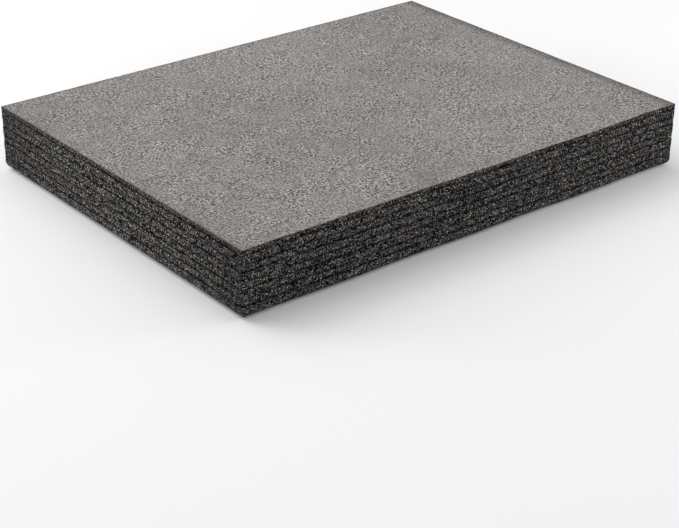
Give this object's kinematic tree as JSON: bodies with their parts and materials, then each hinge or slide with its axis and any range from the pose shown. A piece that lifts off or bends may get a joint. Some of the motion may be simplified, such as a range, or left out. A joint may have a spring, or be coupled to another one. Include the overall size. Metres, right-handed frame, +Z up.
{
  "type": "laminated foam sheet",
  "caption": "Thick rectangular sheet of dark grey foam, welded up from thin plies, with cut sides and rolled lower edges.",
  "frame": {"origin": "middle of the underside", "axes": "+X along the long side, +Y along the short side from the wavy cut front to the straight back, +Z up through the thickness"},
  "size_m": [0.4064, 0.3048, 0.0508],
  "materials": {
    "foam_skin": "fine matt sliced skin, mid grey with a fine speckle",
    "foam_cut": "rough open cut cells, charcoal, with small glints"
  },
  "bodies": {
    "root": {"top_ply": "foam_skin", "ply_2": "foam_cut", "ply_3": "foam_cut", "ply_4": "foam_cut", "ply_5": "foam_cut", "ply_6": "foam_cut", "ply_7": "foam_cut", "bottom_ply": "foam_cut"}
  },
  "joints": []
}
